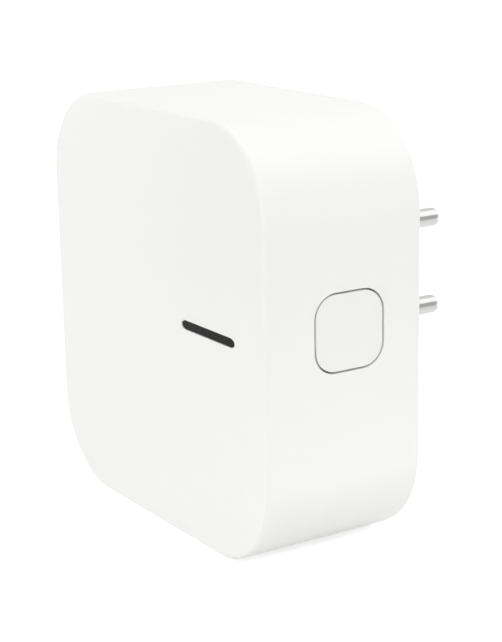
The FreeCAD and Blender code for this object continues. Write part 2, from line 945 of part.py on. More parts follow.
def button_board():
    """Small upright board with two tabs through the main board."""
    x_from = button_board_x - button_board_thickness
    board = block(
        x_from,
        button_board_x,
        main_y,
        button_board_end_y,
        button_z - button_board_half,
        button_z + button_board_half,
    )
    tabs = []
    for sign in (1, -1):
        z = button_z + sign * button_tab_offset
        half = button_tab_width / 2.0
        tabs.append(block(x_from, button_board_x, main_front_y, main_y, z - half, z + half))
    return joined(board, tabs)


def push_switch():
    """Body of the push switch, with its well for the plunger and four solder feet."""
    half = switch_size / 2.0
    y = button_y
    z = button_z
    body = side_plate(switch_size, switch_size, switch_corner, button_board_x, switch_top_x, y, z)
    foot = switch_foot_width / 2.0
    reach = half + switch_foot_length
    feet = []
    for sign in (1, -1):
        foot_y = y + sign * (half - switch_foot_width)
        foot_x = button_board_x + switch_foot_height
        feet.append(block(button_board_x, foot_x, foot_y - foot, foot_y + foot, z - reach, z + reach))
    well_floor = switch_top_x - switch_plunger_sunk - button_travel - switch_stop_gap
    well = cross_rod(switch_plunger_diameter + 2 * switch_plunger_gap, well_floor, switch_top_x, y, z)
    return joined(body, feet).cut(well)


def switch_plunger():
    """Plunger that the post of the cap rests on."""
    return cross_rod(
        switch_plunger_diameter, switch_top_x - switch_plunger_sunk, switch_tip_x, button_y, button_z
    )


def capacitor_can(diameter, height, x, z):
    """Aluminium can standing on the power board, with the crimped groove near its foot."""
    radius = diameter / 2.0
    foot_y = power_y
    profile = [
        (0.0, foot_y - height),
        (radius, foot_y - height),
        (radius, foot_y - can_groove_height - can_groove),
        (radius - can_groove, foot_y - can_groove_height),
        (radius, foot_y - can_groove_height + can_groove),
        (radius, foot_y),
        (0.0, foot_y),
    ]
    can = turned(profile, x, z)
    return can.makeFillet(can_edge_round, edges_at_y(can, foot_y - height))


def bulk_capacitor(index):
    """One of the two smoothing capacitors by the left edge of the power board."""
    return capacitor_can(bulk_diameter, bulk_height, bulk_x, bulk_first_z + index * bulk_pitch)


def filter_choke():
    """Drum choke: a winding between two wider cheeks."""
    cheek = choke_diameter / 2.0
    core = choke_core_diameter / 2.0
    foot_y = power_y
    profile = [
        (0.0, foot_y - choke_height),
        (cheek, foot_y - choke_height),
        (cheek, foot_y - choke_height + choke_cheek),
        (core, foot_y - choke_height + choke_cheek),
        (core, foot_y - choke_cheek),
        (cheek, foot_y - choke_cheek),
        (cheek, foot_y),
        (0.0, foot_y),
    ]
    return turned(profile, bulk_x, choke_z)


def chip(size, foot, way, x, z, leads):
    """Moulded chip flat on a board, with a row of solder feet along each side."""
    length, width, height = size
    low, high = sorted((foot, foot + way * height))
    body = block(x - length / 2.0, x + length / 2.0, low, high, z - width / 2.0, z + width / 2.0)
    feet = []
    low, high = sorted((foot, foot + way * chip_lead_height))
    reach = width / 2.0 + chip_lead_length
    for index in range(leads):
        lead_x = x - length / 2.0 + length * (index + 0.5) / leads
        half = chip_lead_width / 2.0
        feet.append(block(lead_x - half, lead_x + half, low, high, z - reach, z + reach))
    return joined(body, feet)


def bridge_rectifier():
    """Moulded bridge with four feet."""
    size = rectifier_length, rectifier_width, rectifier_height
    return chip(size, power_y, -1, rectifier_x, rectifier_z, rectifier_lead_count)


def switching_controller():
    """Power switch chip of the mains converter."""
    size = controller_length, controller_width, controller_height
    return chip(size, power_y, -1, controller_x, controller_z, controller_lead_count)


def fuse_resistor():
    """Fusible resistor lying on the board, with wider end caps and bent leads."""
    centre_y = power_y - fuse_lift - fuse_end_diameter / 2.0
    half = fuse_length / 2.0
    pieces = []
    for sign in (1, -1):
        low, high = sorted((fuse_x + sign * half, fuse_x + sign * (half - fuse_end_length)))
        pieces.append(cross_rod(fuse_end_diameter, low, high, centre_y, fuse_z))
        lead_x = fuse_x + sign * (half + fuse_lead_length)
        low, high = sorted((fuse_x + sign * half, lead_x + sign * lead_diameter / 2.0))
        pieces.append(cross_rod(lead_diameter, low, high, centre_y, fuse_z))
        pieces.append(rod(lead_diameter, centre_y, power_y, lead_x, fuse_z))
    return joined(cross_rod(fuse_diameter, fuse_x - half, fuse_x + half, centre_y, fuse_z), pieces)


def disc_part(diameter, thickness, x, z):
    """Dipped disc standing on two leads, its flat sides facing left and right."""
    centre_y = power_y - disc_lift - diameter / 2.0
    disc = cross_rod(diameter, x - thickness / 2.0, x + thickness / 2.0, centre_y, z)
    rims = edges_at_x(disc, x - thickness / 2.0) + edges_at_x(disc, x + thickness / 2.0)
    disc = disc.makeFillet(thickness * disc_round_share, rims)
    reach = diameter * disc_lead_share
    leads = [rod(lead_diameter, centre_y, power_y, x, z + sign * reach) for sign in (1, -1)]
    return joined(disc, leads)


def transformer_core():
    """Ferrite core: an outer frame and a centre leg, with two windows for the winding."""
    top_y = power_y - core_lift - core_height
    foot_y = power_y - core_lift
    half = core_length / 2.0
    x_from = transformer_x - core_depth / 2.0
    x_to = transformer_x + core_depth / 2.0
    z = transformer_z
    body = block(x_from, x_to, top_y, foot_y, z - half, z + half)
    window_height = (core_height - core_centre_leg - 2 * core_leg) / 2.0
    window_half = half - core_leg
    windows = []
    for low in (top_y + core_leg, foot_y - core_leg - window_height):
        windows.append(block(x_from, x_to, low, low + window_height, z - window_half, z + window_half))
    return body.cut(windows)


def transformer_winding():
    """Bobbin on the centre leg, taped winding between two flanges, and its feet on the board."""
    foot_y = power_y - core_lift
    centre_y = foot_y - core_height / 2.0
    window_height = (core_height - core_centre_leg - 2 * core_leg) / 2.0
    half_z = core_length / 2.0 - core_leg - winding_gap
    half_y = core_centre_leg / 2.0 + window_height - winding_gap
    half_x = core_depth / 2.0 + winding_bulge
    x = transformer_x
    z = transformer_z
    taped_y = half_y - bobbin_flange_step
    winding = plate(2 * half_x, 2 * half_z, winding_corner, centre_y - taped_y, centre_y + taped_y, x, z)
    pieces = []
    for sign in (1, -1):
        low, high = sorted((z + sign * half_z, z + sign * (half_z - bobbin_flange)))
        reach = half_x + bobbin_flange_step
        pieces.append(block(x - reach, x + reach, centre_y - half_y, centre_y + half_y, low, high))
        low, high = sorted((x + sign * (core_depth / 2.0 + winding_gap), x + sign * half_x))
        pieces.append(block(low, high, centre_y, power_y, z - half_z, z - half_z + bobbin_rail))
        pieces.append(block(low, high, centre_y, power_y, z + half_z - bobbin_rail, z + half_z))
    leg_x = core_depth / 2.0 + winding_gap
    leg_y = core_centre_leg / 2.0 + winding_gap
    tunnel = block(x - leg_x, x + leg_x, centre_y - leg_y, centre_y + leg_y, z - half_z, z + half_z)
    return joined(winding, pieces).cut(tunnel)


def output_diode():
    """Rectifier of the low voltage side, lying on the board."""
    centre_y = power_y - diode_diameter / 2.0
    half = diode_length / 2.0
    return cross_rod(diode_diameter, diode_x - half, diode_x + half, centre_y, diode_z)


def header_places():
    """Centres of the header pins along X."""
    first = header_x - header_pitch * (header_pin_count - 1) / 2.0
    return [first + index * header_pitch for index in range(header_pin_count)]


def header_body():
    """Plastic strip that holds the pins on the power board."""
    half = header_pitch * header_pin_count / 2.0
    wide = header_width / 2.0
    top_y = power_y - header_base
    body = block(header_x - half, header_x + half, top_y, power_y, header_z - wide, header_z + wide)
    hole = header_pin / 2.0 + press_gap
    holes = [
        block(x - hole, x + hole, top_y, power_y, header_z - hole, header_z + hole)
        for x in header_places()
    ]
    return body.cut(holes)


def header_pins():
    """Square pins from the power board into the socket."""
    half = header_pin / 2.0
    y_from = main_y + socket_height - socket_depth + socket_hole_gap
    return [
        block(x - half, x + half, y_from, power_back_y + header_tail, header_z - half, header_z + half)
        for x in header_places()
    ]


def header_socket():
    """Socket strip on the back of the main board."""
    half = header_pitch * header_pin_count / 2.0
    wide = header_width / 2.0
    top_y = main_y + socket_height
    body = block(header_x - half, header_x + half, main_y, top_y, header_z - wide, header_z + wide)
    hole = header_pin / 2.0 + socket_hole_gap
    holes = [
        block(x - hole, x + hole, top_y - socket_depth, top_y, header_z - hole, header_z + hole)
        for x in header_places()
    ]
    return body.cut(holes)


def processor_chip():
    """Square main chip."""
    size = processor_size, processor_size, processor_height
    return chip(size, main_y, 1, processor_x, processor_z, processor_lead_count)


def memory_chip():
    """Memory beside the main chip."""
    size = memory_length, memory_width, memory_height
    return chip(size, main_y, 1, memory_x, memory_z, memory_lead_count)


def crystal():
    """Metal can of the clock crystal."""
    top_y = main_y + crystal_height
    return plate(crystal_length, crystal_width, crystal_corner, main_y, top_y, crystal_x, crystal_z)


def radio_module(width, length, x, z):
    """Small carrier board of a radio, flat on the main board."""
    y_to = main_y + module_thickness
    return block(x - width / 2.0, x + width / 2.0, main_y, y_to, z - length / 2.0, z + length / 2.0)


def shield_can(width, length, module_length, x, z):
    """Drawn metal can over the radio, at the lower end of its carrier board."""
    y_from = main_y + module_thickness
    y_to = y_from + shield_height
    centre_z = z - (module_length - length) / 2.0 + shield_edge_gap
    can = plate(width, length, shield_corner, y_from, y_to, x, centre_z)
    can = can.makeFillet(shield_top_round, edges_at_y(can, y_to))
    inner_width = width - 2 * shield_wall
    inner_length = length - 2 * shield_wall
    inner_corner = shield_corner - shield_wall
    return can.cut(plate(inner_width, inner_length, inner_corner, y_from, y_to - shield_wall, x, centre_z))


def network_shield():
    """Can of the wireless network radio."""
    return shield_can(network_can_width, network_can_length, network_length, network_x, network_z)


def sensor_radio_shield():
    """Can of the sensor radio."""
    return shield_can(sensor_can_width, sensor_can_length, sensor_length, sensor_x, sensor_z)


def antenna(x):
    """Stamped strip antenna near the top edge: a raised arm on two legs."""
    z = main_half_z - antenna_edge
    half = antenna_length / 2.0
    wide = antenna_strip / 2.0
    top_y = main_y + antenna_height
    arm = block(x - half, x + half, top_y - antenna_thickness, top_y, z - wide, z + wide)
    legs = []
    for leg_x in (x - half, x - half + antenna_leg_spacing):
        legs.append(block(leg_x, leg_x + antenna_thickness, main_y, top_y, z - wide, z + wide))
    return joined(arm, legs)


NODES = {
    "front_housing": [front_housing()],
    "rear_cover": [rear_cover()],
    "indicator_window": [indicator_window()],
    "light_guide": [light_guide()],
    "light_seal": [light_seal()],
    "status_light_left": [status_light(-1)],
    "status_light_right": [status_light(1)],
    "button_cap": [button_cap()],
    "button_guide": [button_guide()],
    "button_board": [button_board()],
    "push_switch": [push_switch()],
    "switch_plunger": [switch_plunger()],
    "upper_pin": [plug_pin(1)],
    "lower_pin": [plug_pin(-1)],
    "upper_pin_sleeve": [pin_sleeve(1)],
    "lower_pin_sleeve": [pin_sleeve(-1)],
    "pin_retainer": [pin_retainer()],
    "retainer_screw": [retainer_screw()],
    "upper_contact_strip": [contact_strip(1)],
    "lower_contact_strip": [contact_strip(-1)],
    "cover_screws": cover_screws(),
    "power_board": [power_board()],
    "power_board_screws": power_board_screws(),
    "transformer_core": [transformer_core()],
    "transformer_winding": [transformer_winding()],
    "bulk_capacitor_lower": [bulk_capacitor(0)],
    "bulk_capacitor_upper": [bulk_capacitor(1)],
    "filter_choke": [filter_choke()],
    "bridge_rectifier": [bridge_rectifier()],
    "fuse_resistor": [fuse_resistor()],
    "surge_absorber": [disc_part(surge_diameter, surge_thickness, surge_x, surge_z)],
    "safety_capacitor": [disc_part(safety_diameter, safety_thickness, safety_x, safety_z)],
    "switching_controller": [switching_controller()],
    "output_capacitor": [capacitor_can(output_can_diameter, output_can_height, output_can_x, output_can_z)],
    "output_diode": [output_diode()],
    "header_body": [header_body()],
    "header_pins": header_pins(),
    "header_socket": [header_socket()],
    "main_board": [main_board()],
    "main_board_screws": main_board_screws(),
    "processor_chip": [processor_chip()],
    "memory_chip": [memory_chip()],
    "crystal": [crystal()],
    "network_module": [radio_module(network_width, network_length, network_x, network_z)],
    "network_shield": [network_shield()],
    "sensor_radio_module": [radio_module(sensor_width, sensor_length, sensor_x, sensor_z)],
    "sensor_radio_shield": [sensor_radio_shield()],
    "network_antenna": [antenna(network_x)],
    "sensor_antenna": [antenna(sensor_x)],
}

os.makedirs("parts", exist_ok=True)
for name, solids in NODES.items():
    shape = solids[0] if len(solids) == 1 else Part.makeCompound(solids)
    shape.translate(V(0, 0, -plug_rise))
    shape.exportStep("parts/" + name + ".step")
    print(name, len(shape.Solids), "solid", shape.isValid(), round(shape.Volume, 1), "mm3")
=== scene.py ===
import json
import math

import bmesh
import bpy
from mathutils import Matrix, Vector


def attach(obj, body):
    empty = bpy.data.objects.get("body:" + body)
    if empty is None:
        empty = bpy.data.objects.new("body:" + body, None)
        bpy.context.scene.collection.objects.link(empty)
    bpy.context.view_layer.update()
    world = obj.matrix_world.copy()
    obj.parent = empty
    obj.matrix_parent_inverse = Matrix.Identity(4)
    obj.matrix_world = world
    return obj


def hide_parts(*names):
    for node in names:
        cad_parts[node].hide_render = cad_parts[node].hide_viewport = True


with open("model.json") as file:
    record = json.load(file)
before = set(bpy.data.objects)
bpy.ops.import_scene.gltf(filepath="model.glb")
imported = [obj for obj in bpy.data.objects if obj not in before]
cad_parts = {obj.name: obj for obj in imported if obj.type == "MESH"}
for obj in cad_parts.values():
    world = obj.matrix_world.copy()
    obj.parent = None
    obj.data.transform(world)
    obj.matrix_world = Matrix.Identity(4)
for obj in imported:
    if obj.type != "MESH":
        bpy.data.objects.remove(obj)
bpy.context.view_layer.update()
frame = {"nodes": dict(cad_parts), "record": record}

# Smart home gateway that hangs in a wall socket on its own two pins.
# Sizes are in millimetres, and MM turns them into Blender's metres.
# +X is the button side, +Y runs out of the back along the pins, +Z is up.
MM = 0.001
MICRON = 1e-6
X, Y = 0, 1

# Places nearer to each other than CLOSE count as one. A half round stops TINY short of its middle
# line, and the two corners there merge. A cutter reaches OVER past the wall that it cuts, and a
# joined shape reaches BITE into what it stands on. A normal beyond FACING looks along its axis,
# and an edge longer than LONG_EDGE along an axis runs along it.
CLOSE = 0.01
TINY = 0.0002
OVER = 1.0
BITE = 0.5
FACING = 0.99
LONG_EDGE = 0.1

# Body of the gateway
HALF_WIDTH = 40.0
FOOT_Z = -43.7
TOP_Z = 39.3
FRONT_Y = -50.5
BACK_Y = -16.5
CORNER_ROUND = 18.0
FRONT_EDGE_ROUND = 0.9
BACK_EDGE_ROUND = 0.5
SIDE_WALL = 2.4
CAVITY_Y = -48.5
CAVITY_ROUND = 1.0
WALL_X = 37.6
WALL_TOP_Z = 36.9
WALL_FOOT_Z = -41.3
WALL_BITE = 1.0

# Inside the body: posts with gussets, board standoffs, rails and pegs
POST_X = 26.0
POST_ZS = (25.3, -29.7)
POST_ROOT = 3.6
POST_TIP = 3.1
POST_END_Y = -20.7
POST_PILOT = 1.25
POST_PILOT_Y = -30.2
GUSSET_HALF = 0.6
GUSSET_END_Y = -45.4
STANDOFF_X = 14.0
STANDOFF_ZS = (28.3, -32.7)
STANDOFF = 2.5
STANDOFF_END_Y = -45.1
STANDOFF_PILOT = 0.9
STANDOFF_PILOT_Y = -47.95
RAIL_X = 27.1
RAIL_Y = (-43.2, -25.2)
RAIL_NEAR = 12.0
RAIL_FAR = 14.0
GROOVE_X = (28.5, 29.9)
GROOVE_NEAR = 11.9
GROOVE_FAR = 12.7
STAKE_Y = 9.35
STAKE_Z = 9.15
STAKE = 0.8
STAKE_HEAD = 1.4
STAKE_HEAD_X = (33.9, 34.6)

# Rear cover, let into the back of the body, with the plug boss moulded on it
COVER_LIP = 1.2
COVER_INSET = 1.35
COVER_Y = -18.7
COVER_EDGE_ROUND = 0.15
RIM_INSET = 2.55
RIM_WALL = 1.2
RIM_Y = -20.5
RIM_NOTCH_X = 34.0
RIM_NOTCH = 11.95
SEAT = 4.2
SCREW_HOLE = 1.5
POWER_SCREW_X = 29.0
POWER_SCREW_ZS = (18.1, -22.5)
POWER_STANDOFF = 2.8
POWER_STANDOFF_Y = -21.9
PLUG_FACE_Y = 0.0
BOSS_HALF_WIDTH = 6.85
BOSS_HALF_HEIGHT = 17.65
BOSS_BEVEL = 4.6
BOSS_WALL = 1.6
BOSS_HOLLOW_Y = -2.5
BOSS_CORNER_ROUND = 1.5
BOSS_INNER_ROUND = 0.4
BOSS_EDGE_ROUND = 0.6
RETAINER_POST = 2.5
RETAINER_POST_Y = -4.0
RETAINER_PILOT = 0.85
RETAINER_PILOT_Y = -1.0

# Screws in the back of the cover
SCREW_FLOOR_Y = -18.8
SCREW_BORE = 2.85
SCREW_HEAD = 2.6
SCREW_HEAD_HEIGHT = 1.7
SCREW_HEAD_ROUND = 0.75
SCREW_SHANK = 1.2
SCREW_LENGTH = 9.0
CROSS_REACH = 1.6
CROSS_HALF = 0.35
CROSS_DEPTH = 1.0

# Indicator window in the front face
SLOT_X = 20.2
SLOT_Z = -0.8
SLOT_LENGTH = 18.7
SLOT_HEIGHT = 1.8
SLOT_END = 1.5
SLOT_EDGE_ROUND = 0.08
WINDOW_GAP = 0.05
WINDOW_SINK = 0.15
WINDOW_FLANGE = 1.2
WINDOW_FLANGE_THICKNESS = 0.7
WINDOW_EDGE_ROUND = 0.1

# Push button in the right side wall
BUTTON_Y = -32.5
BUTTON_Z = 1.1
BUTTON_DEPTH = 14.7
BUTTON_HEIGHT = 14.3
BUTTON_CORNER = 4.3
BUTTON_GAP = 0.35
BUTTON_EDGE_ROUND = 0.2
OPENING_EDGE_ROUND = 0.12
BUTTON_BACK_X = 38.7
BUTTON_WALL = 1.5
BUTTON_FLANGE = 1.5
BUTTON_FLANGE_X = 36.6
BUTTON_RIB_HALF = 0.4
BUTTON_RIB_BITE = 0.3
BUTTON_POST = 2.0
BUTTON_TIP_X = 33.9

# Plug pins
PIN_ZS = {"upper": 9.5, "lower": -9.5}
PIN = 2.0
PIN_TIP_Y = 19.0
PIN_TIP_ROUND = 1.4
SLEEVE = 1.8
SLEEVE_BORE = 1.53
SLEEVE_END_Y = 10.0
PIN_NECK = 1.5
PIN_FLANGE = 3.5
PIN_FLANGE_Y = (-4.0, -2.5)
PIN_TAIL = 1.2
PIN_RIVET = 1.8
PIN_RIVET_Y = (-8.5, -7.8)

# How finely rounds are divided, from the body's corners down to edges that are only broken
BODY_SEGMENTS = 48
SMALL_SEGMENTS = 20
PIN_TIP_SEGMENTS = 10
FRONT_EDGE_SEGMENTS = 8
BOSS_CORNER_SEGMENTS = 6
EDGE_SEGMENTS = 5
FINE_SEGMENTS = 3
BROKEN_SEGMENTS = 2
CHAMFER_SEGMENTS = 1
TURNED_SIDES = 96
BORE_SIDES = 48
PILOT_SIDES = 24
SMOOTH_ANGLE = math.radians(30)
OCTAGON_HALF_TURN = math.radians(22.5)


# ---- Shaping by hand: primitives, picks in edit mode, and modifiers that are applied


def deselect():
    """Nothing stays selected, so the next operator acts only on what is made or picked next."""
    if bpy.context.object and bpy.context.object.mode != "OBJECT":
        bpy.ops.object.mode_set(mode="OBJECT")
    bpy.ops.object.select_all(action="DESELECT")


def take(piece):
    """Selects one piece and makes it the active one."""
    deselect()
    piece.select_set(True)
    bpy.context.view_layer.objects.active = piece


def open_new(name):
    """Names the new primitive, puts its place into its mesh and opens it for editing."""
    piece = bpy.context.object
    piece.name = piece.data.name = name
    bpy.ops.object.transform_apply(location=True, rotation=True, scale=True)
    bpy.ops.object.mode_set(mode="EDIT")
    return piece


def box(name, low, high):
    """Box between two corners."""
    deselect()
    middle = [(a + b) / 2 * MM for a, b in zip(low, high)]
    size = [(b - a) * MM for a, b in zip(low, high)]
    bpy.ops.mesh.primitive_cube_add(size=1.0, location=middle, scale=size)
    return open_new(name)


def rod(name, axis, radius, low, high, middle, sides=BORE_SIDES, end_radius=None):
    """Rod or cone along an axis, about a line through middle."""
    deselect()
    place = list(middle)
    place[axis] = (low + high) / 2
    turn = {X: (0, math.radians(90), 0), Y: (math.radians(-90), 0, 0)}[axis]
    bpy.ops.mesh.primitive_cone_add(
        vertices=sides,
        radius1=radius * MM,
        radius2=(radius if end_radius is None else end_radius) * MM,
        depth=(high - low) * MM,
        location=[p * MM for p in place],
        rotation=turn,
    )
    return open_new(name)


def pick_edges(piece, test):
    """Selects the edges whose two ends, in millimetres, pass the test."""
    bpy.ops.mesh.select_all(action="DESELECT")
    bpy.context.tool_settings.mesh_select_mode = (False, True, False)
    mesh = bmesh.from_edit_mesh(piece.data)
    for edge in mesh.edges:
        first, second = (v.co / MM for v in edge.verts)
        edge.select_set(bool(test(first, second)))
    bmesh.update_edit_mesh(piece.data)


def pick_faces(piece, test):
    """Selects the faces whose middle, in millimetres, and normal pass the test."""
    bpy.ops.mesh.select_all(action="DESELECT")
    bpy.context.tool_settings.mesh_select_mode = (False, False, True)
    mesh = bmesh.from_edit_mesh(piece.data)
    mesh.normal_update()
    for face in mesh.faces:
        face.select_set(bool(test(face.calc_center_median() / MM, face.normal)))
    bmesh.update_edit_mesh(piece.data)


def pick_flat(piece, axis, way, at):
    """Selects the flat faces that look one way along an axis, at one place on it."""
    pick_faces(piece, lambda c, n: n[axis] * way > FACING and abs(c[axis] - at) < CLOSE)


def bevel(width, segments):
    """Rounds the picked edges."""
    bpy.ops.mesh.bevel(offset=width * MM, segments=segments, profile=0.5, affect="EDGES")


def bevel_along(piece, axis, width, segments):
    """Rounds the edges that run along an axis, and closes the ones that meet."""
    pick_edges(piece, lambda a, b: abs(a[axis] - b[axis]) > LONG_EDGE)
    bevel(width, segments)
    bpy.ops.mesh.select_all(action="SELECT")
    bpy.ops.mesh.remove_doubles(threshold=MICRON)


def bevel_rim(piece, axis, at, width, segments, near=lambda point: True):
    """Rounds the edges that lie flat at one place on an axis, or those of them near something."""

    def on_rim(*ends):
        return all(abs(end[axis] - at) < CLOSE and near(end) for end in ends)

    pick_edges(piece, on_rim)
    bevel(width, segments)


def inset(width):
    """Draws a smaller outline inside the picked face."""
    bpy.ops.mesh.inset(thickness=width * MM, depth=0.0)


def pull(axis, distance):
    """Extrudes the picked face along an axis."""
    move = [0.0, 0.0, 0.0]
    move[axis] = distance * MM
    bpy.ops.mesh.extrude_region_move(TRANSFORM_OT_translate={"value": move})


def rounded_block(name, low, high, axis, radius, segments):
    """Box with the edges along one axis rounded."""
    piece = box(name, low, high)
    bevel_along(piece, axis, radius, segments)
    return piece


def turned(name, steps, x, z, sides=TURNED_SIDES):
    """Round piece along Y, drawn out step by step from its first length: steps of radius and y."""
    (radius, first), (_, at) = steps[:2]
    piece = rod(name, Y, radius, first, at, (x, 0, z), sides)
    for wide, y in steps[2:]:
        pick_faces(
            piece,
            lambda c, n: (
                n.y > FACING and abs(c.y - at) < CLOSE and math.hypot(c.x - x, c.z - z) < CLOSE
            ),
        )
        pull(Y, y - at)
        share = wide / radius
        centre = (x * MM, y * MM, z * MM)
        bpy.ops.transform.resize(value=(share, 1.0, share), center_override=centre)
        radius, at = wide, y
    return piece


def combine(piece, how, others):
    """Joins other shapes to a piece, or cuts them out of it, and opens it again."""
    take(piece)
    for other in others:
        change = piece.modifiers.new(how.lower(), "BOOLEAN")
        change.operation = how
        change.solver = "EXACT"
        change.object = other
        bpy.ops.object.modifier_apply(modifier=change.name)
        bpy.data.objects.remove(other)
    bpy.ops.object.mode_set(mode="EDIT")


def finish_mesh(piece):
    """Rounds shade smooth and flats shade flat, as on a clean moulding."""
    take(piece)
    bpy.ops.object.shade_smooth_by_angle(angle=SMOOTH_ANGLE)
    weigh = piece.modifiers.new("flats", "WEIGHTED_NORMAL")
    weigh.keep_sharp = True
    bpy.ops.object.modifier_apply(modifier=weigh.name)
    return piece


# ---- The pieces


def slot_block(name, grow, y_from, y_to):
    """Long pill about the slot's outline, grown on all sides, its round ends drawn out a little."""
    half_height = SLOT_HEIGHT / 2 + grow
    straight = SLOT_LENGTH / 2 - SLOT_END
    low = (SLOT_X - straight - half_height, y_from, SLOT_Z - half_height)
    high = (SLOT_X + straight + half_height, y_to, SLOT_Z + half_height)
    piece = rounded_block(name, low, high, Y, half_height - TINY, SMALL_SEGMENTS)
    share = (SLOT_END + grow) / half_height
    for side in (-1, 1):
        root = SLOT_X + side * straight
        pick_edges(piece, lambda a, b: min(side * (a.x - root), side * (b.x - root)) > CLOSE)
        centre = (root * MM, 0.0, SLOT_Z * MM)
        bpy.ops.transform.resize(value=(share, 1.0, 1.0), center_override=centre)
    return piece


def button_block(name, grow, x_from, x_to):
    """Rounded square about the button's outline, grown on all sides."""
    half_depth = BUTTON_DEPTH / 2 + grow
    half_height = BUTTON_HEIGHT / 2 + grow
    low = (x_from, BUTTON_Y - half_depth, BUTTON_Z - half_height)
    high = (x_to, BUTTON_Y + half_depth, BUTTON_Z + half_height)
    return rounded_block(name, low, high, X, BUTTON_CORNER + grow, SMALL_SEGMENTS)


def near_button(point):
    """True for the rim of the button's opening, and false for the outline of the body."""
    return abs(point.y - BUTTON_Y) < BUTTON_DEPTH and abs(point.z - BUTTON_Z) < BUTTON_HEIGHT


def near_slot(point):
    """True for the rim of the slot, and false for the outline of the front face."""
    return abs(point.x - SLOT_X) < SLOT_LENGTH and abs(point.z - SLOT_Z) < SLOT_HEIGHT


def housing_insides():
    """What stands inside the body: corner posts, gussets, standoffs, rails and melted pegs."""
    parts = []
    low_y = CAVITY_Y - WALL_BITE
    for side in (-1, 1):
        for z, wall_z in zip(POST_ZS, (WALL_TOP_Z + WALL_BITE, WALL_FOOT_Z - WALL_BITE)):
            x = side * POST_X
            parts.append(
                rod("post", Y, POST_ROOT, low_y, POST_END_Y, (x, 0, z), BORE_SIDES, POST_TIP)
            )
            xs = sorted((x, side * (WALL_X + WALL_BITE)))
            zs = sorted((z, wall_z))
            low = (xs[0], low_y, z - GUSSET_HALF)
            parts.append(box("gusset", low, (xs[1], GUSSET_END_Y, z + GUSSET_HALF)))
            low = (x - GUSSET_HALF, low_y, zs[0])
            parts.append(box("gusset", low, (x + GUSSET_HALF, GUSSET_END_Y, zs[1])))
        for z in STANDOFF_ZS:
            place = (side * STANDOFF_X, 0, z)
            parts.append(rod("standoff", Y, STANDOFF, low_y, STANDOFF_END_Y, place))
        zs = sorted((BUTTON_Z + side * RAIL_NEAR, BUTTON_Z + side * RAIL_FAR))
        rail = box("rail", (RAIL_X, RAIL_Y[0], zs[0]), (WALL_X + WALL_BITE, RAIL_Y[1], zs[1]))
        zs = sorted((BUTTON_Z + side * GROOVE_NEAR, BUTTON_Z + side * GROOVE_FAR))
        low = (GROOVE_X[0], RAIL_Y[0] - OVER, zs[0])
        combine(rail, "DIFFERENCE", [box("groove", low, (GROOVE_X[1], RAIL_Y[1] + OVER, zs[1]))])
        parts.append(rail)
        for stake_z in (-STAKE_Z, STAKE_Z):
            place = (0, BUTTON_Y + side * STAKE_Y, BUTTON_Z + stake_z)
            shank = rod("peg", X, STAKE, STAKE_HEAD_X[1], WALL_X + WALL_BITE, place, PILOT_SIDES)
            head = rod("peg_head", X, STAKE, *STAKE_HEAD_X, place, PILOT_SIDES, STAKE_HEAD)
            combine(shank, "UNION", [head])
            parts.append(shank)
    return parts


def housing_openings():
    """What is cut out of the body: slot, button opening and the holes for its screws."""
    cuts = [
        slot_block("slot", 0.0, FRONT_Y - OVER, CAVITY_Y + OVER),
        button_block("opening", BUTTON_GAP, WALL_X - OVER, HALF_WIDTH + OVER),
    ]
    for side in (-1, 1):
        for z in POST_ZS:
            place = (side * POST_X, 0, z)
            ends = (POST_PILOT_Y, POST_END_Y + OVER)
            cuts.append(rod("pilot", Y, POST_PILOT, *ends, place, PILOT_SIDES))
        for z in STANDOFF_ZS:
            place = (side * STANDOFF_X, 0, z)
            ends = (STANDOFF_PILOT_Y, STANDOFF_END_Y + OVER)
            cuts.append(rod("pilot", Y, STANDOFF_PILOT, *ends, place, PILOT_SIDES))
    return cuts


def make_housing():
    """Front face and side walls in one moulding, hollowed from the back."""
    low = (-HALF_WIDTH, FRONT_Y, FOOT_Z)
    piece = rounded_block(
        "housing_moulding", low, (HALF_WIDTH, BACK_Y, TOP_Z), Y, CORNER_ROUND, BODY_SEGMENTS
    )
    bevel_rim(piece, Y, FRONT_Y, FRONT_EDGE_ROUND, FRONT_EDGE_SEGMENTS)
    bevel_rim(piece, Y, BACK_Y, BACK_EDGE_ROUND, EDGE_SEGMENTS)
    pick_flat(piece, Y, 1, BACK_Y)
    inset(COVER_LIP - BACK_EDGE_ROUND)
    pull(Y, COVER_Y - BACK_Y)
    inset(SIDE_WALL - COVER_LIP)
    pull(Y, CAVITY_Y - COVER_Y)
    bevel_rim(piece, Y, CAVITY_Y, CAVITY_ROUND, EDGE_SEGMENTS)
    combine(piece, "UNION", housing_insides())
    combine(piece, "DIFFERENCE", housing_openings())
    bevel_rim(piece, X, HALF_WIDTH, OPENING_EDGE_ROUND, FINE_SEGMENTS, near_button)
    bevel_rim(piece, Y, FRONT_Y, SLOT_EDGE_ROUND, BROKEN_SEGMENTS, near_slot)
    return finish_mesh(piece)


def boss_block(name, shrink, y_from, y_to):
    """Eight-sided length of the plug, drawn in from all sides by shrink."""
    low = (shrink - BOSS_HALF_WIDTH, y_from, shrink - BOSS_HALF_HEIGHT)
    piece = box(name, low, (BOSS_HALF_WIDTH - shrink, y_to, BOSS_HALF_HEIGHT - shrink))
    flat = BOSS_BEVEL - shrink * (2 - math.sqrt(2))
    bevel_along(piece, Y, flat, CHAMFER_SEGMENTS)
    corner = max(BOSS_CORNER_ROUND - shrink, BOSS_INNER_ROUND)
    bevel_along(piece, Y, corner * math.tan(OCTAGON_HALF_TURN), BOSS_CORNER_SEGMENTS)
    return piece


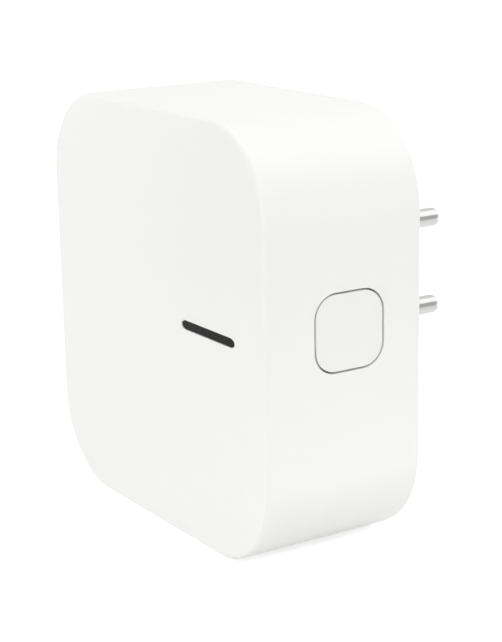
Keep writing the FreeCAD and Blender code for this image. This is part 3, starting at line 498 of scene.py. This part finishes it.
def cover_rim():
    """Ring that centres the cover in the body, with a notch beside the button."""
    low = (RIM_INSET - HALF_WIDTH, RIM_Y, FOOT_Z + RIM_INSET)
    high = (HALF_WIDTH - RIM_INSET, COVER_Y + WALL_BITE, TOP_Z - RIM_INSET)
    ring = rounded_block("rim", low, high, Y, CORNER_ROUND - RIM_INSET, BODY_SEGMENTS)
    pick_flat(ring, Y, -1, RIM_Y)
    inset(RIM_WALL)
    pull(Y, COVER_Y - RIM_Y)
    low = (RIM_NOTCH_X, RIM_Y - OVER, BUTTON_Z - RIM_NOTCH)
    combine(ring, "DIFFERENCE", [box("notch", low, (HALF_WIDTH, COVER_Y, BUTTON_Z + RIM_NOTCH))])
    return ring


def make_cover():
    """Back plate with the hollow plug boss, the rim and the seats of the screws."""
    low = (COVER_INSET - HALF_WIDTH, COVER_Y, FOOT_Z + COVER_INSET)
    high = (HALF_WIDTH - COVER_INSET, BACK_Y, TOP_Z - COVER_INSET)
    piece = rounded_block("cover_moulding", low, high, Y, CORNER_ROUND - COVER_INSET, BODY_SEGMENTS)
    bevel_rim(piece, Y, BACK_Y, COVER_EDGE_ROUND, BROKEN_SEGMENTS)
    boss = boss_block("boss", 0.0, COVER_Y + BITE, PLUG_FACE_Y)
    bevel_rim(boss, Y, PLUG_FACE_Y, BOSS_EDGE_ROUND, EDGE_SEGMENTS)
    added = [boss, cover_rim()]
    cuts = [boss_block("hollow", BOSS_WALL, COVER_Y - OVER, BOSS_HOLLOW_Y)]
    for side in (-1, 1):
        for z in POST_ZS:
            place = (side * POST_X, 0, z)
            added.append(rod("seat", Y, SEAT, POST_END_Y, COVER_Y + WALL_BITE, place))
            ends = (POST_END_Y - OVER, SCREW_FLOOR_Y + BITE)
            cuts.append(rod("screw_hole", Y, SCREW_HOLE, *ends, place))
            cuts.append(rod("counterbore", Y, SCREW_BORE, SCREW_FLOOR_Y, BACK_Y + OVER, place))
        for z in POWER_SCREW_ZS:
            place = (side * POWER_SCREW_X, 0, z)
            ends = (POWER_STANDOFF_Y, COVER_Y + WALL_BITE)
            added.append(rod("standoff", Y, POWER_STANDOFF, *ends, place))
            ends = (POWER_STANDOFF_Y - OVER, COVER_Y)
            cuts.append(rod("pilot", Y, STANDOFF_PILOT, *ends, place, PILOT_SIDES))
    combine(piece, "UNION", added)
    for z in PIN_ZS.values():
        cuts.append(rod("pin_bore", Y, SLEEVE, BOSS_HOLLOW_Y - OVER, OVER, (0, 0, z)))
    combine(piece, "DIFFERENCE", cuts)
    post = rod("retainer_post", Y, RETAINER_POST, RETAINER_POST_Y, BOSS_HOLLOW_Y + BITE, (0, 0, 0))
    combine(piece, "UNION", [post])
    ends = (RETAINER_POST_Y - OVER, RETAINER_PILOT_Y)
    pilot = rod("pilot", Y, RETAINER_PILOT, *ends, (0, 0, 0), PILOT_SIDES)
    combine(piece, "DIFFERENCE", [pilot])
    return finish_mesh(piece)


def make_button_cap():
    """Cap with its retaining flange, its hollow and ribs, and the post on the switch."""
    piece = button_block("button_cap_moulding", BUTTON_FLANGE, BUTTON_FLANGE_X, WALL_X)
    pick_flat(piece, X, 1, WALL_X)
    inset(BUTTON_FLANGE)
    pull(X, HALF_WIDTH - WALL_X)
    bevel_rim(piece, X, HALF_WIDTH, BUTTON_EDGE_ROUND, EDGE_SEGMENTS)
    pick_flat(piece, X, -1, BUTTON_FLANGE_X)
    inset(BUTTON_FLANGE + BUTTON_WALL)
    pull(X, BUTTON_BACK_X - BUTTON_FLANGE_X)
    reach_y = BUTTON_DEPTH / 2 - BUTTON_WALL + BITE
    reach_z = BUTTON_HEIGHT / 2 - BUTTON_WALL + BITE
    added = []
    for half_y, half_z in ((reach_y, BUTTON_RIB_HALF), (BUTTON_RIB_HALF, reach_z)):
        low = (BUTTON_FLANGE_X, BUTTON_Y - half_y, BUTTON_Z - half_z)
        high = (BUTTON_BACK_X + BUTTON_RIB_BITE, BUTTON_Y + half_y, BUTTON_Z + half_z)
        added.append(box("rib", low, high))
    place = (0, BUTTON_Y, BUTTON_Z)
    added.append(rod("post", X, BUTTON_POST, BUTTON_TIP_X, BUTTON_BACK_X + BUTTON_RIB_BITE, place))
    combine(piece, "UNION", added)
    return finish_mesh(piece)


def make_window():
    """Smoked pane with its flange behind the front wall."""
    pane_y = FRONT_Y + WINDOW_SINK
    piece = slot_block("window_pane", -WINDOW_GAP, pane_y, CAVITY_Y + WINDOW_FLANGE_THICKNESS / 2)
    bevel_rim(piece, Y, pane_y, WINDOW_EDGE_ROUND, FINE_SEGMENTS)
    flange = slot_block("flange", WINDOW_FLANGE, CAVITY_Y, CAVITY_Y + WINDOW_FLANGE_THICKNESS)
    combine(piece, "UNION", [flange])
    return finish_mesh(piece)


def make_pin(name, z):
    """Turned pin: riveted tail, clamped flange, thin neck under the sleeve, and bare round tip."""
    steps = [(PIN_RIVET, PIN_RIVET_Y[0]), (PIN_RIVET, PIN_RIVET_Y[1])]
    steps += [(PIN_TAIL, PIN_RIVET_Y[1]), (PIN_TAIL, PIN_FLANGE_Y[0])]
    steps += [(PIN_FLANGE, PIN_FLANGE_Y[0]), (PIN_FLANGE, PIN_FLANGE_Y[1])]
    steps += [(PIN_NECK, PIN_FLANGE_Y[1]), (PIN_NECK, SLEEVE_END_Y)]
    steps += [(PIN, SLEEVE_END_Y), (PIN, PIN_TIP_Y)]
    piece = turned(f"{name}_pin_turned", steps, 0.0, z)
    bevel_rim(piece, Y, PIN_TIP_Y, PIN_TIP_ROUND, PIN_TIP_SEGMENTS)
    return finish_mesh(piece)


def make_sleeve(name, z):
    """Insulating tube on the root of a pin."""
    place = (0, 0, z)
    low_y, high_y = PIN_FLANGE_Y[1], SLEEVE_END_Y
    piece = rod(f"{name}_sleeve_moulded", Y, SLEEVE, low_y, high_y, place, TURNED_SIDES)
    bore = rod("bore", Y, SLEEVE_BORE, low_y - OVER, high_y + OVER, place, TURNED_SIDES)
    combine(piece, "DIFFERENCE", [bore])
    return finish_mesh(piece)


def make_screws():
    """Pan-head screw with a cross in its head, turned once and copied to the other corners."""
    x, z = POST_X, POST_ZS[0]
    top_y = SCREW_FLOOR_Y + SCREW_HEAD_HEIGHT
    steps = [(SCREW_SHANK, SCREW_FLOOR_Y - SCREW_LENGTH), (SCREW_SHANK, SCREW_FLOOR_Y)]
    steps += [(SCREW_HEAD, SCREW_FLOOR_Y), (SCREW_HEAD, top_y)]
    first = turned("cover_screw_1", steps, x, z, BORE_SIDES)
    bevel_rim(first, Y, top_y, SCREW_HEAD_ROUND, EDGE_SEGMENTS)
    arms = []
    for wide, tall in ((CROSS_REACH, CROSS_HALF), (CROSS_HALF, CROSS_REACH)):
        low = (x - wide, top_y - CROSS_DEPTH, z - tall)
        arms.append(box("arm", low, (x + wide, top_y + OVER, z + tall)))
    combine(first, "DIFFERENCE", arms)
    screws = [finish_mesh(first)]
    for other_x, other_z in ((-x, z), (-x, POST_ZS[1]), (x, POST_ZS[1])):
        copy = first.copy()
        copy.data = first.data.copy()
        copy.data.transform(Matrix.Translation(Vector((other_x - x, 0, other_z - z)) * MM))
        copy.name = copy.data.name = f"cover_screw_{len(screws) + 1}"
        bpy.context.scene.collection.objects.link(copy)
        screws.append(copy)
    return screws


housing = make_housing()
cover = make_cover()
button_cap = make_button_cap()
window = make_window()
pins = [make_pin(name, z) for name, z in PIN_ZS.items()]
sleeves = [make_sleeve(name, z) for name, z in PIN_ZS.items()]
screws = make_screws()


# ---- Materials


def linear(hex_colour):
    """sRGB hex as the linear colour that Blender wants."""
    parts = [int(hex_colour[i : i + 2], 16) / 255 for i in (1, 3, 5)]
    return [p / 12.92 if p <= 0.04045 else ((p + 0.055) / 1.055) ** 2.4 for p in parts] + [1.0]


def add_node(tree, kind, inputs=None, **settings):
    """Adds a node with its settings. Each input gets a value or a link from another output."""
    node = tree.nodes.new(kind)
    for key, value in settings.items():
        setattr(node, key, value)
    for socket, value in (inputs or {}).items():
        if isinstance(value, bpy.types.NodeSocket):
            tree.links.new(value, node.inputs[socket])
        else:
            node.inputs[socket].default_value = value
    return node


def empty_tree(holder):
    """Node tree of a new material or world, with nothing in it."""
    holder.use_nodes = True
    holder.node_tree.nodes.clear()
    return holder.node_tree


# How all grained finishes are tuned: the noise lies mostly between the two GRAIN_RANGE values and
# moves the roughness up and down by GLOSS_SWING. A lathe's rings waver a little.
GRAIN_RANGE = (0.3, 0.7)
GRAIN_DETAIL = 3.0
PATCH_DETAIL = 2.0
GLOSS_SWING = 0.04
BUMP_STRENGTH = 0.5
RING_WAVER = 2.0
# The wave texture has one ring in this length where its scale is 1
WAVE_LENGTH = math.pi / 10


def grained(name, dark, light, grain_mm, bump_um, rough, patch_mm=12.0, ring_mm=None, **shader):
    """Surface whose gloss and height follow a grain or lathe rings, and whose colour drifts."""
    material = bpy.data.materials.new(name)
    tree = empty_tree(material)
    place = add_node(tree, "ShaderNodeTexCoord").outputs["Object"]
    if ring_mm:
        inputs = {"Vector": place, "Scale": WAVE_LENGTH / (ring_mm * MM)}
        inputs.update({"Distortion": RING_WAVER, "Detail": GRAIN_DETAIL})
        pattern = add_node(tree, "ShaderNodeTexWave", inputs, bands_direction="Y").outputs["Fac"]
    else:
        inputs = {"Vector": place, "Scale": 1 / (grain_mm * MM), "Detail": GRAIN_DETAIL}
        pattern = add_node(tree, "ShaderNodeTexNoise", inputs).outputs["Fac"]
    inputs = {"Vector": place, "Scale": 1 / (patch_mm * MM), "Detail": PATCH_DETAIL}
    patch = add_node(tree, "ShaderNodeTexNoise", inputs).outputs["Fac"]
    inputs = {0: patch, 6: linear(dark), 7: linear(light)}
    colour = add_node(tree, "ShaderNodeMix", inputs, data_type="RGBA").outputs[2]
    inputs = {"Value": pattern, "From Min": GRAIN_RANGE[0], "From Max": GRAIN_RANGE[1]}
    inputs.update({"To Min": rough - GLOSS_SWING, "To Max": rough + GLOSS_SWING})
    gloss = add_node(tree, "ShaderNodeMapRange", inputs).outputs[0]
    inputs = {"Height": pattern, "Strength": BUMP_STRENGTH, "Distance": bump_um * MICRON}
    bump = add_node(tree, "ShaderNodeBump", inputs).outputs[0]
    inputs = {"Base Color": colour, "Roughness": gloss, "Normal": bump}
    surface = add_node(tree, "ShaderNodeBsdfPrincipled", {**inputs, **shader})
    add_node(tree, "ShaderNodeOutputMaterial", {"Surface": surface.outputs[0]})
    return material


METAL = {"Metallic": 1.0}
ETCHED = {"IOR": 1.585, "Specular IOR Level": 0.06}
CLEAR = {"IOR": 1.49, "Transmission Weight": 0.9}

FINISHES = {
    # ABS from a spark-eroded mould: even satin white, with wide and soft highlights
    "white_abs": grained("white_abs_spark_eroded", "#F3F3F1", "#F4F4F2", 0.25, 4.0, 0.42, IOR=1.53),
    # The same ABS from a smoother mould: a shade greyer than the wall, with a tighter shine
    "button_abs": grained(
        "white_abs_fine_moulded", "#F2F2F0", "#F3F3F1", 0.25, 3.0, 0.38, IOR=1.53
    ),
    # Polycarbonate smoked nearly black, with an etched face that hardly mirrors
    "smoked_window": grained(
        "smoked_polycarbonate_etched", "#131312", "#191918", 0.4, 0.5, 0.3, **ETCHED
    ),
    # Polished acrylic: clear, and bright at its ends
    "clear_guide": grained("clear_acrylic_polished", "#F4F6F6", "#FBFCFC", 0.4, 0.5, 0.1, **CLEAR),
    # Closed-cell foam: dull black with small pores
    "seal_foam": grained("black_foam_die_cut", "#1E1E1F", "#2B2B2C", 0.4, 60.0, 0.9, IOR=1.45),
    # Brass, turned and bright nickel plated: near a mirror, with faint rings from the lathe.
    # Real rings are a few hundredths of a millimetre apart, and these are 0.3, so that they show.
    "nickel_pins": grained(
        "brass_nickel_plated_turned", "#C7C7C6", "#CDCDCC", 0.15, 0.4, 0.2, ring_mm=0.3, **METAL
    ),
    # Extruded nylon: milky white and a little waxy
    "sleeve_plastic": grained(
        "white_nylon_extruded", "#E6E5E1", "#ECEBE8", 0.2, 3.0, 0.45, IOR=1.53
    ),
    # ABS as it leaves a plain mould: duller white
    "inner_plastic": grained(
        "white_abs_plain_moulded", "#E9E9E6", "#F0F0EE", 0.3, 4.0, 0.5, IOR=1.53
    ),
    # Steel, headed and zinc plated: bluish grey, with a soft cloudy shine
    "steel_screw": grained("steel_zinc_plated", "#B4B6B8", "#C6C8CA", 0.12, 1.5, 0.3, 2.0, **METAL),
    # Rolled spring brass: warm yellow with a quiet shine
    "brass_strip": grained("brass_rolled", "#C9A24B", "#D8B566", 0.2, 1.5, 0.3, 3.0, **METAL),
    # Glass epoxy under green resist: a little lighter where copper tracks run below it
    "board_green": grained(
        "glass_epoxy_green_resist", "#14532F", "#1F6B3F", 0.5, 4.0, 0.35, 1.5, IOR=1.5
    ),
    # Pressed and fired ferrite: charcoal, dull and coarse
    "ferrite": grained("ferrite_fired", "#2A2A2C", "#38383A", 0.15, 6.0, 0.6, 3.0, IOR=1.8),
    # Polyester tape: amber, smooth, with a slight gloss
    "winding_tape": grained(
        "polyester_tape_wound", "#D8A92B", "#E3BA46", 0.6, 4.0, 0.35, 4.0, IOR=1.6
    ),
    # Aluminium can in a shrunk vinyl sleeve: black and smooth
    "capacitor_can": grained("vinyl_sleeve_shrunk", "#1B1D22", "#262930", 0.4, 2.0, 0.3, IOR=1.53),
    # Moulded epoxy of chips: black, dull, finely pitted
    "moulded_black": grained(
        "epoxy_black_moulded", "#1F1F20", "#2B2B2C", 0.15, 6.0, 0.55, IOR=1.55
    ),
    # Dipped epoxy: blue, glossy and slightly uneven
    "disc_blue": grained("epoxy_blue_dipped", "#1E4E8C", "#2A60A4", 0.5, 5.0, 0.35, 3.0, IOR=1.55),
    # Flameproof coating: grey-green and chalky
    "fuse_body": grained(
        "silicone_coating_baked", "#8FA08A", "#9DAE98", 0.3, 6.0, 0.6, 2.0, IOR=1.5
    ),
    # White polyamide of the lamps: bright and matt
    "lamp_white": grained("polyamide_white_moulded", "#ECEBE4", "#F5F4EE", 0.2, 2.0, 0.4, IOR=1.53),
    # Tinned steel cans: light grey with a cloudy shine
    "shield_steel": grained(
        "steel_tinned_pressed", "#BFC0BD", "#CFD0CD", 0.2, 1.5, 0.25, 2.5, **METAL
    ),
    # Gold flash on the header's pins: yellow and bright
    "header_gold": grained("brass_gold_flashed", "#D9B25A", "#E7C777", 0.1, 1.0, 0.2, **METAL),
}


def dress(piece, slot):
    """Gives a piece or a node the finish of its slot, and nothing else."""
    piece.data.materials.clear()
    piece.data.materials.append(FINISHES[slot])


for part in frame["record"]["subparts"]:
    dress(frame["nodes"][part["node"]], part["material_slot"])


# ---- What each piece stands for

STANDS_FOR = [
    (housing, "gateway", "white_abs", "front_housing"),
    (cover, "gateway", "white_abs", "rear_cover"),
    (button_cap, "button", "button_abs", "button_cap"),
    (window, "gateway", "smoked_window", "indicator_window"),
    (pins[0], "gateway", "nickel_pins", "upper_pin"),
    (pins[1], "gateway", "nickel_pins", "lower_pin"),
    (sleeves[0], "gateway", "sleeve_plastic", "upper_pin_sleeve"),
    (sleeves[1], "gateway", "sleeve_plastic", "lower_pin_sleeve"),
] + [(screw, "gateway", "steel_screw", "cover_screws") for screw in screws]

for piece, body, slot, node in STANDS_FOR:
    dress(piece, slot)
    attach(piece, body)
    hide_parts(node)


# ---- Floor, light and camera


def looked_at(tree):
    """1 where the camera, a gloss or a glass looks, and 0 for light that falls on the object."""
    rays = add_node(tree, "ShaderNodeLightPath").outputs
    pair = {0: rays["Is Camera Ray"], 1: rays["Is Glossy Ray"]}
    either = add_node(tree, "ShaderNodeMath", pair, operation="MAXIMUM").outputs[0]
    pair = {0: either, 1: rays["Is Transmission Ray"]}
    return add_node(tree, "ShaderNodeMath", pair, operation="MAXIMUM").outputs[0]


# The floor and the sky look white to the camera, and the light that they throw is kept lower
FLOOR_SIDE = 6.0
FLOOR_LIFT = 0.6
SKY_LIGHT = 0.455
SKY_LOOK = 1.0
WHITE = (1.0, 1.0, 1.0, 1.0)

deselect()
bpy.ops.mesh.primitive_plane_add(size=FLOOR_SIDE, location=(0, 0, (FOOT_Z - CLOSE) * MM))
floor = bpy.context.object
floor.name = "floor"
paper = bpy.data.materials.new("white_paper_floor")
tree = empty_tree(paper)
lift = add_node(tree, "ShaderNodeMath", {0: looked_at(tree), 1: FLOOR_LIFT}, operation="MULTIPLY")
inputs = {"Base Color": linear("#F2F2F2"), "Roughness": 0.9}
inputs.update({"Emission Color": WHITE, "Emission Strength": lift.outputs[0]})
surface = add_node(tree, "ShaderNodeBsdfPrincipled", inputs)
add_node(tree, "ShaderNodeOutputMaterial", {"Surface": surface.outputs[0]})
floor.data.materials.append(paper)

world = bpy.data.worlds.new("white_studio")
bpy.context.scene.world = world
tree = empty_tree(world)
inputs = {"Value": looked_at(tree), "To Min": SKY_LIGHT, "To Max": SKY_LOOK}
level = add_node(tree, "ShaderNodeMapRange", inputs)
sky = add_node(tree, "ShaderNodeBackground", {"Color": WHITE, "Strength": level.outputs[0]})
add_node(tree, "ShaderNodeOutputWorld", {"Surface": sky.outputs[0]})


def grey_card(name, low, high, axis, fade, greys):
    """Thin card between two corners that shows only in gloss, its grey fading along an axis."""
    card = box(name, low, high)
    deselect()
    card.visible_camera = card.visible_diffuse = False
    card.visible_transmission = card.visible_shadow = False
    grey = bpy.data.materials.new(name)
    tree = empty_tree(grey)
    place = add_node(tree, "ShaderNodeTexCoord").outputs["Object"]
    inputs = {"Value": add_node(tree, "ShaderNodeSeparateXYZ", {"Vector": place}).outputs[axis]}
    inputs.update({"From Min": fade[0] * MM, "From Max": fade[1] * MM})
    inputs.update({"To Min": greys[0], "To Max": greys[1]})
    tone = add_node(tree, "ShaderNodeMapRange", inputs).outputs[0]
    glow = add_node(tree, "ShaderNodeEmission", {"Strength": tone})
    add_node(tree, "ShaderNodeOutputMaterial", {"Surface": glow.outputs[0]})
    card.data.materials.append(grey)


CARD = 0.2
RIGHT_CARD_X = 150.0
LEFT_CARD_X = -100.0
LOW_CARD_Z = (FOOT_Z, FOOT_Z + CARD)

# Two corners, the axis of the fade, where it starts and ends, and the grey at either end of it
CARDS = {
    # Takes the shine off the upper part of the side wall
    "side_card": (
        (RIGHT_CARD_X, -130.0, FOOT_Z),
        (RIGHT_CARD_X + CARD, 70.0, 0.0),
        Y,
        (-130.0, 70.0),
        (0.02, 0.02),
    ),
    # Draws the dark band along the pins
    "pin_card": (
        (RIGHT_CARD_X, 70.0, FOOT_Z),
        (RIGHT_CARD_X + CARD, 200.0, 100.0),
        Y,
        (70.0, 110.0),
        (0.02, 0.6),
    ),
    # Turns the underside of the pins from white to light grey
    "low_card": (
        (-100.0, 30.0, LOW_CARD_Z[0]),
        (125.0, 110.0, LOW_CARD_Z[1]),
        X,
        (40.0, 125.0),
        (1.2, 0.8),
    ),
    # Makes the foot of the side wall shine a little more
    "bright_card": (
        (60.0, -60.0, LOW_CARD_Z[0]),
        (115.0, 28.0, LOW_CARD_Z[1]),
        X,
        (80.0, 115.0),
        (2.8, 1.5),
    ),
    # Takes some shine off the upper right of the front face
    "left_card": (
        (LEFT_CARD_X - CARD, -260.0, FOOT_Z),
        (LEFT_CARD_X, -122.0, 80.0),
        Y,
        (-145.0, -122.0),
        (0.3, 0.9),
    ),
}

for name, row in CARDS.items():
    grey_card(name, *row)


def soft_box(name, place, aim, size, power):
    """Square soft lamp at a place, turned to what it lights, in metres and watts."""
    lamp = bpy.data.lights.new(name, "AREA")
    lamp.shape = "SQUARE"
    lamp.size = size
    lamp.energy = power
    holder = bpy.data.objects.new(name, lamp)
    holder.location = place
    holder.rotation_euler = (Vector(aim) - Vector(place)).to_track_quat("-Z", "Y").to_euler()
    holder.visible_camera = False
    bpy.context.scene.collection.objects.link(holder)


BODY_MIDDLE = (0.0, -0.03, 0.0)
FRONT_FACE = (0.0, -0.05, 0.0)
SIDE_WALL_FOOT = (0.04, -0.03, -0.03)

# Place, what it is turned to, side and power
LAMPS = {
    "top_lamp": ((0.0, -0.03, 0.5), BODY_MIDDLE, 0.4, 0.93),
    "upper_back_lamp": ((0.2, 0.4, 0.42), BODY_MIDDLE, 0.5, 0.5),
    "upper_right_lamp": ((0.45, -0.1, 0.35), BODY_MIDDLE, 0.3, 0.54),
    "front_lamp": ((0.06, -0.9, 0.0), FRONT_FACE, 0.2, 2.4),
    "front_left_lamp": ((-0.9, -0.5, 0.1), FRONT_FACE, 0.5, 1.46),
    "low_right_lamp": ((0.25, 0.06, -0.01), SIDE_WALL_FOOT, 0.12, 0.061),
    "right_back_lamp": ((0.5, 0.45, 0.06), SIDE_WALL_FOOT, 0.3, 0.14),
    "back_lamp": ((-0.1, 0.9, 0.3), BODY_MIDDLE, 0.5, 0.7),
}

for name, row in LAMPS.items():
    soft_box(name, *row)

# Camera, worked out from the outline, the slot, the button and the pins in the photograph
VIEW_AZIMUTH = math.radians(57.552)
VIEW_ELEVATION = math.radians(14.728)
VIEW_ROLL = math.radians(-1.079)
VIEW_DISTANCE = 338.974
VIEW_SIDEWAYS = 18.93
VIEW_UPWARDS = -0.424
FOCAL_PIXELS = 1751.621
PICTURE_HEIGHT = 642.0
SENSOR = 36.0

aim = Vector((0.0, FRONT_Y, (FOOT_Z + TOP_Z) / 2)) * MM
back = Vector(
    (
        math.sin(VIEW_AZIMUTH) * math.cos(VIEW_ELEVATION),
        -math.cos(VIEW_AZIMUTH) * math.cos(VIEW_ELEVATION),
        math.sin(VIEW_ELEVATION),
    )
)
level_right = Vector((math.cos(VIEW_AZIMUTH), math.sin(VIEW_AZIMUTH), 0.0))
level_up = back.cross(level_right)
right = level_right * math.cos(VIEW_ROLL) + level_up * math.sin(VIEW_ROLL)
up = level_up * math.cos(VIEW_ROLL) - level_right * math.sin(VIEW_ROLL)
lens = bpy.data.cameras.new("camera")
lens.sensor_width = SENSOR
lens.lens = FOCAL_PIXELS / PICTURE_HEIGHT * SENSOR
lens.clip_start = 0.01
camera = bpy.data.objects.new("camera", lens)
place = aim + (back * VIEW_DISTANCE + right * VIEW_SIDEWAYS + up * VIEW_UPWARDS) * MM
camera.matrix_world = Matrix(
    (
        (right.x, up.x, back.x, place.x),
        (right.y, up.y, back.y, place.y),
        (right.z, up.z, back.z, place.z),
        (0.0, 0.0, 0.0, 1.0),
    )
)
bpy.context.scene.collection.objects.link(camera)
bpy.context.scene.camera = camera
bpy.context.scene.view_settings.view_transform = "Standard"
